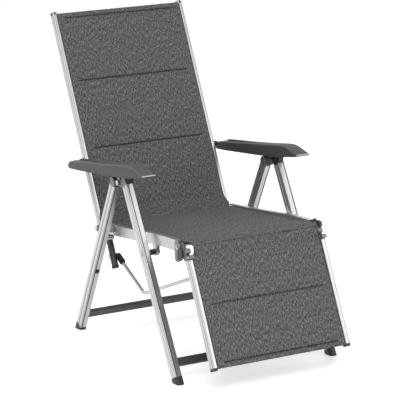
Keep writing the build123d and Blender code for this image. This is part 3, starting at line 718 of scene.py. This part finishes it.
padLook = {
    "halfWidth": 0.2525,
    "thickness": 0.010,
    "cell": 0.009,
    "seamRows": (-0.007, -0.0035, 0.0, 0.0035, 0.007),
    "sideStrip": 0.013,
    "endStrip": 0.004,
    "seamStrip": 0.002,
    "seamInset": 0.032,
    "seamEndFade": 0.008,
    "cap": 0.0075,
    "backShare": 0.45,
    "grooveWidth": 0.0034,
    "grooveDepth": 0.0055,
    "grooveLeast": 0.5,
    "grooveBelow": 0.6,
    "pucker": 0.0003,
    "puckerTurns": 430,
    "puckerReach": 0.012,
    "edgeThinning": 0.60,
    "edgeFade": 0.024,
    "narrowRun": 0.8,
    "smoothAngle": 60,
    "frames": 20,
}
clothSettings = {
    "quality": 5,
    "mass": 0.3,
    "tension_stiffness": 18,
    "compression_stiffness": 18,
    "shear_stiffness": 8,
    "bending_stiffness": 0.8,
    "use_pressure": True,
    "uniform_pressure_force": 4.0,
    "vertex_group_mass": "sewn",
}


def smooth(value, low, high):
    share = min(max((value - low) / (high - low), 0.0), 1.0)
    return share * share * (3 - 2 * share)


def widthShare(reach, length, narrowing, full):
    share = full
    for fromEnd, place, span, half in narrowing:
        middle = length + place if fromEnd else place
        near = 1 - abs(reach - middle) / span
        if near > 0:
            least = half / padLook["halfWidth"]
            share = min(share, full + (least - full) * smooth(near, 0.0, padLook["narrowRun"]))
    return share


def inflate(panel):
    # pressure swells the panel between its seams, up to a cap on each side
    look = padLook
    flat = [vert.co.copy() for vert in panel.data.vertices]
    makeActive(panel)
    cloth = panel.modifiers.new("cloth", "CLOTH")
    for key, value in clothSettings.items():
        setattr(cloth.settings, key, value)
    cloth.settings.effector_weights.gravity = 0
    cloth.collision_settings.use_collision = False
    cloth.point_cache.frame_start = 1
    cloth.point_cache.frame_end = look["frames"]
    for frameNumber in range(1, look["frames"] + 1):
        scene.frame_set(frameNumber)
    bpy.ops.object.modifier_apply(modifier=cloth.name)
    scene.frame_set(1)
    for vert, start in zip(panel.data.vertices, flat):
        moved = vert.co - start
        cap = look["cap"] * (1 if start.z > 0 else look["backShare"])
        if moved.length > 0:
            moved *= cap * math.tanh(moved.length / cap) / moved.length
        vert.co = start + moved


def pressSeams(panel, seams, seamHalf):
    look = padLook
    for vert in panel.data.vertices:
        across, reach, lift = vert.co
        fade = 1 - smooth(abs(across), seamHalf - look["seamEndFade"], seamHalf)
        for index, (seam, depth) in enumerate(seams):
            press = look["grooveLeast"] + (1 - look["grooveLeast"]) * depth
            near = math.exp(-(((reach - seam) / look["grooveWidth"]) ** 2)) * fade * press
            wave = look["pucker"] * math.sin(across * look["puckerTurns"] + index)
            level = 1 if lift > 0 else look["grooveBelow"]
            lift -= math.copysign(look["grooveDepth"] * near, lift) * level
            lift += wave * math.exp(-abs(reach - seam) / look["puckerReach"]) * fade
        edge = smooth(abs(across), look["halfWidth"] - look["edgeFade"], look["halfWidth"])
        vert.co.z = lift * (1 - look["edgeThinning"] * edge)


def paddedPanel(name, knots, seams, uvStart, narrowing, full=1.0):
    # seams are (place along, depth share) and narrowings (from the end, place, span, half width)
    look = padLook
    path = bezierPath(knots)
    length = path[1][-1]
    seams = [(length + seam if seam < 0 else seam, depth) for seam, depth in seams]
    stops = [0.0, *(seam + step for seam, _ in seams for step in look["seamRows"]), length]
    rows = [0.0]
    for near, far in zip(stops, stops[1:]):
        count = max(1, round((far - near) / look["cell"]))
        rows += [near + (far - near) * index / count for index in range(1, count + 1)]
    columns = round(2 * look["halfWidth"] / look["cell"])
    deselectAll()
    bpy.ops.mesh.primitive_grid_add(x_subdivisions=columns, y_subdivisions=len(rows) - 1, size=1)
    panel = named(name)
    for vert in panel.data.vertices:
        row = round((vert.co.y + 0.5) * (len(rows) - 1))
        vert.co = (vert.co.x * 2 * look["halfWidth"], rows[row], 0)
    applyModifier(panel, "SOLIDIFY", thickness=look["thickness"], offset=0.0)

    seamHalf = look["halfWidth"] - look["seamInset"]

    def isSewn(co):
        atEdge = abs(co.x) > look["halfWidth"] - look["sideStrip"]
        atEnd = co.y < look["endStrip"] or co.y > length - look["endStrip"]
        return atEdge or atEnd or (
            abs(co.x) < seamHalf and any(abs(co.y - seam) < look["seamStrip"] for seam, _ in seams)
        )

    held = [vert.index for vert in panel.data.vertices if isSewn(vert.co)]
    panel.vertex_groups.new(name="sewn").add(held, 1.0, "REPLACE")
    inflate(panel)
    applyModifier(panel, "SUBSURF", levels=1, render_levels=1)
    pressSeams(panel, seams, seamHalf)

    makeActive(panel)
    layer = panel.data.uv_layers.active or panel.data.uv_layers.new(name="cloth")
    layer.name = "cloth"
    for loop in panel.data.loops:
        point = panel.data.vertices[loop.vertex_index].co
        layer.data[loop.index].uv = (point.x, uvStart + point.y)
    for vert in panel.data.vertices:
        place, turn = pathFrame(path, vert.co.y)
        lift = vert.co.z
        across = vert.co.x * widthShare(vert.co.y, length, narrowing, full)
        vert.co = spot((place[0] - lift * math.sin(turn), place[1] + lift * math.cos(turn)), across)
    settle(panel, Matrix.Identity(4), look["smoothAngle"])
    panel.data.materials.clear()
    placed = [(uvStart + seam, depth) for seam, depth in seams]
    panel.data.materials.append(fabricMaterial(name + "Cloth", placed, seamHalf))
    print("panel", name, "length", round(length, 3), "points", len(panel.data.vertices))
    return panel, length


backPadLook = {
    "lift": -0.0108,
    "top": 0.809,
    "low": 0.060,
    "handles": (0.25, 0.25, 0.022, 0.03),
    "creaseAngle": -20,
    "seams": [(0.020, 0.9), (0.2610, 1.0), (0.5170, 1.0)],
    "narrowing": [(True, 0.0, 0.030, 0.2445)],
    "full": 1.016,
}
backTop = stepFrom(chair["backHinge"], backPadLook["top"], chair["backAngle"], backPadLook["lift"])
backLow = stepFrom(chair["backHinge"], backPadLook["low"], chair["backAngle"], backPadLook["lift"])
backDown = chair["backAngle"] - 180
topOut, lowIn, lowOut, creaseIn = backPadLook["handles"]
backPad, backLength = paddedPanel(
    "backPad",
    [(backTop, backDown, 0, topOut), (backLow, backDown, lowIn, lowOut),
     (chair["crease"], backPadLook["creaseAngle"], creaseIn, 0)],
    backPadLook["seams"],
    0.0,
    backPadLook["narrowing"],
    backPadLook["full"],
)

seatPadLook = {
    "lift": 0.0095,
    "flat": 0.500,
    "handles": (0.12, 0.15, 0.05, 0.04),
    "creaseAngle": 4,
    "frontAngle": -22,
    "seams": [(-0.300, -0.22)],
    "narrowing": [(False, 0.0, 0.030, 0.2445), (True, -0.002, 0.045, 0.2425)],
}
seatFlat = stepFrom(chair["seatStart"], seatPadLook["flat"], chair["seatAngle"], seatPadLook["lift"])
creaseOut, flatIn, flatOut, frontIn = seatPadLook["handles"]
seatPad, seatLength = paddedPanel(
    "seatPad",
    [(chair["crease"], seatPadLook["creaseAngle"], 0, creaseOut),
     (seatFlat, chair["seatAngle"], flatIn, flatOut),
     (chair["frontSeam"], seatPadLook["frontAngle"], frontIn, 0)],
    seatPadLook["seams"],
    backLength,
    seatPadLook["narrowing"],
)

legrestPadLook = {
    "high": (0.004, 0.0035),
    "low": (0.372, 0.0092),
    "handles": (0.018, 0.018, 0.12, 0.12),
    "frontAngle": -44,
    "seams": [(-0.216, 0.75), (-0.019, 0.85)],
    "narrowing": [(False, 0.010, 0.042, 0.2425)],
}
legrestHigh, legrestLow = (
    stepFrom(chair["legrestStart"], reach, chair["legrestAngle"], lift)
    for reach, lift in (legrestPadLook["high"], legrestPadLook["low"])
)
frontOut, highIn, highOut, lowIn = legrestPadLook["handles"]
legrestPad, _ = paddedPanel(
    "legrestPad",
    [(chair["frontSeam"], legrestPadLook["frontAngle"], 0, frontOut),
     (legrestHigh, chair["legrestAngle"], highIn, highOut),
     (legrestLow, chair["legrestAngle"], lowIn, 0)],
    legrestPadLook["seams"],
    backLength + seatLength,
    legrestPadLook["narrowing"],
)
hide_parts("back_pad")
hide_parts("seat_pad")
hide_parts("legrest_pad")
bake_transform(backPad)
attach(seatPad, "seat")
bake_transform(legrestPad)
print("sling ready")


# armrests: a tapered block with a turned-down nose and a hollow underside

armLook = {
    "halfWidth": 0.0275,
    "blockHalf": 0.02,
    "profile": (  # along from the pivot, top, bottom, share of the width
        (-0.0255, -0.0080, -0.0150, 0.55), (-0.0150, -0.0020, -0.0190, 0.78), (0.0070, 0.0048, -0.0205, 0.92),
        (0.0400, 0.0070, -0.0215, 0.97), (0.0900, 0.0085, -0.0230, 1.0), (0.1970, 0.0105, -0.0250, 1.0),
        (0.3350, 0.0130, -0.0275, 1.0), (0.4460, 0.0160, -0.0275, 1.0), (0.4800, 0.0165, -0.0262, 1.0),
        (0.5040, 0.0148, -0.0245, 1.0), (0.5230, 0.0105, -0.0232, 1.0), (0.5410, 0.0045, -0.0222, 1.0),
        (0.5600, -0.0020, -0.0212, 1.0), (0.5760, -0.0074, -0.0202, 0.99), (0.5900, -0.0120, -0.0190, 0.97),
    ),
    "crown": 0.0016,
    "crownHalf": 0.010,
    "edge": 0.0052,
    "edgeProfile": 0.55,
    "rearEdge": 0.002,
    "wall": 0.0035,
    "roof": 0.0075,
    "hollowRows": (2, 12),
    "hollowEnd": 0.541,
    "hollowStart": 0.001,
    "hollowReach": 0.0055,
    "lip": 0.0042,
    "lipBack": 0.0035,
    "flush": 1e-4,
}


def shapeArmrest(name, side):
    look = armLook
    profile, flush, block = look["profile"], look["flush"], look["blockHalf"]
    rear, front = profile[0][0], profile[-1][0]
    half = look["halfWidth"]
    armrest = addBlock(name, (2 * half, front - rear, 2 * block), (0, (front + rear) / 2, 0))
    cutAt(armrest, [row[0] for row in profile[1:-1]], (0, 1, 0))
    cutAt(armrest, (-look["crownHalf"], look["crownHalf"]), (1, 0, 0))
    for along, top, bottom, width in profile:
        pick(armrest, lambda co: abs(co.y - along) < flush and co.z > 0)
        bpy.ops.transform.translate(value=(0, 0, top - block))
        pick(armrest, lambda co: abs(co.y - along) < flush and co.z < 5e-4 - block)
        bpy.ops.transform.translate(value=(0, 0, bottom + block))
        pick(armrest, lambda co: abs(co.y - along) < flush)
        bpy.ops.transform.resize(value=(width, 1, 1), center_override=(0, along, 0))
    crownRows = [row[:2] for row in profile[1:-1]]
    pick(armrest, lambda co: abs(co.x) < look["crownHalf"] + flush
         and any(abs(co.y - along) < flush and abs(co.z - top) < flush for along, top in crownRows))
    bpy.ops.transform.translate(value=(0, 0, look["crown"]))

    # the hollow underside follows the top
    start = look["hollowStart"]
    pick(armrest, lambda center, normal: normal.z < -0.5 and 0.0 < center.y < look["hollowEnd"], "FACE")
    bpy.ops.mesh.inset(thickness=look["wall"], depth=0)
    bpy.ops.mesh.extrude_region_move(TRANSFORM_OT_translate={"value": (0, 0, start)})
    for along, top, bottom, width in profile[slice(*look["hollowRows"])]:
        pick(armrest, lambda co: abs(co.y - along) < look["hollowReach"]
             and abs(co.z - bottom - start) < 5e-4 and abs(co.x) < half * width - 0.5 * look["wall"])
        bpy.ops.transform.translate(value=(0, 0, top - look["roof"] - bottom - start))

    # a thin lip stands over a recessed edge at the nose
    lipLow = profile[-1][1] - look["lip"]
    cutAt(armrest, (lipLow,), (0, 0, 1))
    under = profile[-1][1] - look["lip"] / 2 - 1e-3
    pick(armrest, lambda center, normal: normal.y > 0.8 and center.y > front - 1e-3
         and center.z < under, "FACE")
    bpy.ops.mesh.extrude_region_move(TRANSFORM_OT_translate={"value": (0, -look["lipBack"], 0)})

    def longTopEdge(a, b):
        if abs(a.y - b.y) < flush or a.x * b.x < 0:
            return False
        for point in (a, b):
            row = min(profile, key=lambda item: abs(item[0] - point.y))
            if abs(point.y - row[0]) > flush or abs(point.z - row[1]) > 2 * flush:
                return False
            if abs(abs(point.x) - half * row[3]) > 2 * flush:
                return False
        return True

    pick(armrest, longTopEdge, "EDGE")
    bpy.ops.mesh.bevel(offset=look["edge"], segments=4, profile=look["edgeProfile"])
    pick(armrest, lambda a, b: abs(a.y - rear) < 1e-3 and abs(b.y - rear) < 1e-3, "EDGE")
    bpy.ops.mesh.bevel(offset=look["rearEdge"], segments=3)
    bpy.ops.object.mode_set(mode="OBJECT")
    # painted highlight: the nose's front faces take a much lighter colour
    shadeFaces(armrest, lambda face: float(face.normal.y > 0.7 and face.center.y > front - 0.002))
    settle(armrest, sideFrame(chair["armPivot"], chair["armAngle"], side * chair["armCenterX"]), 32)
    return finishPiece(armrest, "anthracite_plastic")


for sideName, side in sides:
    armrest = shapeArmrest("armrestShell_" + sideName, side)
    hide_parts("armrest_" + sideName)
    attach(armrest, "arm_" + sideName)
print("armrests ready")


# floor, lamps and camera

stageLook = {
    "floorSize": 16.0,
    "floorColor": (0.92, 0.92, 0.92),
    "floorRoughness": 0.35,
    "floorGlow": 0.43,
    "worldColor": (1.0, 1.0, 1.0),
    "worldLight": 0.55,
    "lamps": {
        "keyLamp": ((-1.5, -3.0, 3.2), 2.6, 92.0),
        "fillLamp": ((2.6, -3.0, 1.8), 2.8, 34.0),
        "rimLamp": ((-1.2, 2.8, 2.6), 2.2, 45.0),
    },
    "lampTarget": (0.0, -0.1, 0.5),
}


def seenRay(nodes, links):
    # 1 for what the camera sees, straight, in a reflection or through a clear piece
    ray = nodes.new("ShaderNodeLightPath")
    seen = addMath(nodes, links, "MAXIMUM", ray.outputs["Is Camera Ray"], ray.outputs["Is Glossy Ray"])
    return addMath(nodes, links, "MAXIMUM", seen, ray.outputs["Is Transmission Ray"])


deselectAll()
bpy.ops.mesh.primitive_plane_add(size=stageLook["floorSize"], location=(0, 0, 0))
floor = named("studioFloor")
floorMaterial, nodes, links, shader = newMaterial(
    "studioFloor", stageLook["floorColor"], 0.0, stageLook["floorRoughness"]
)
shader.inputs["Emission Color"].default_value = (1, 1, 1, 1)
glow = addMath(nodes, links, "MULTIPLY", seenRay(nodes, links), stageLook["floorGlow"])
links.new(glow, shader.inputs["Emission Strength"])
floor.data.materials.append(floorMaterial)

world = bpy.data.worlds.new("studio") if scene.world is None else scene.world
scene.world = world
world.use_nodes = True
nodes, links = world.node_tree.nodes, world.node_tree.links
background = nodes["Background"]
background.inputs["Color"].default_value = (*stageLook["worldColor"], 1)
worldLight = stageLook["worldLight"]
level = addMath(nodes, links, "MULTIPLY_ADD", seenRay(nodes, links), 1 - worldLight, worldLight)
links.new(level, background.inputs["Strength"])

for name, (place, size, power) in stageLook["lamps"].items():
    bpy.ops.object.light_add(type="AREA", location=place)
    lamp = bpy.context.object
    lamp.name = name
    lamp.data.size = size
    lamp.data.energy = power
    aim = Vector(stageLook["lampTarget"]) - Vector(place)
    lamp.rotation_euler = aim.to_track_quat("-Z", "Y").to_euler()

cameraLook = {
    "azimuth": -28.2655,
    "elevation": 13.2565,
    "roll": -1.3597,
    "distance": 7.1823,
    "target": (-0.0530, -0.1649, 0.5385),
    "focalPixels": 2075.79,
    "framePixels": 400,
    "centerPixel": (204.6, 204.05),
    "sensor": 36.0,
}


def placeCamera(look):
    azimuth, elevation, roll = (math.radians(look[key]) for key in ("azimuth", "elevation", "roll"))
    back = Vector((math.sin(azimuth) * math.cos(elevation), -math.cos(azimuth) * math.cos(elevation),
                   math.sin(elevation)))
    level = Vector((math.cos(azimuth), math.sin(azimuth), 0))
    above = back.cross(level)
    right = level * math.cos(roll) + above * math.sin(roll)
    up = above * math.cos(roll) - level * math.sin(roll)
    bpy.ops.object.camera_add()
    camera = named("photoCamera")
    camera.data.sensor_width = look["sensor"]
    camera.data.lens = look["focalPixels"] * look["sensor"] / look["framePixels"]
    half = look["framePixels"] / 2
    camera.data.shift_x = (half - look["centerPixel"][0]) / look["framePixels"]
    camera.data.shift_y = (look["centerPixel"][1] - half) / look["framePixels"]
    matrix = Matrix((right, up, back)).transposed().to_4x4()
    matrix.translation = Vector(look["target"]) + back * look["distance"]
    camera.matrix_world = matrix
    scene.camera = camera


placeCamera(cameraLook)
print("stage and camera ready")
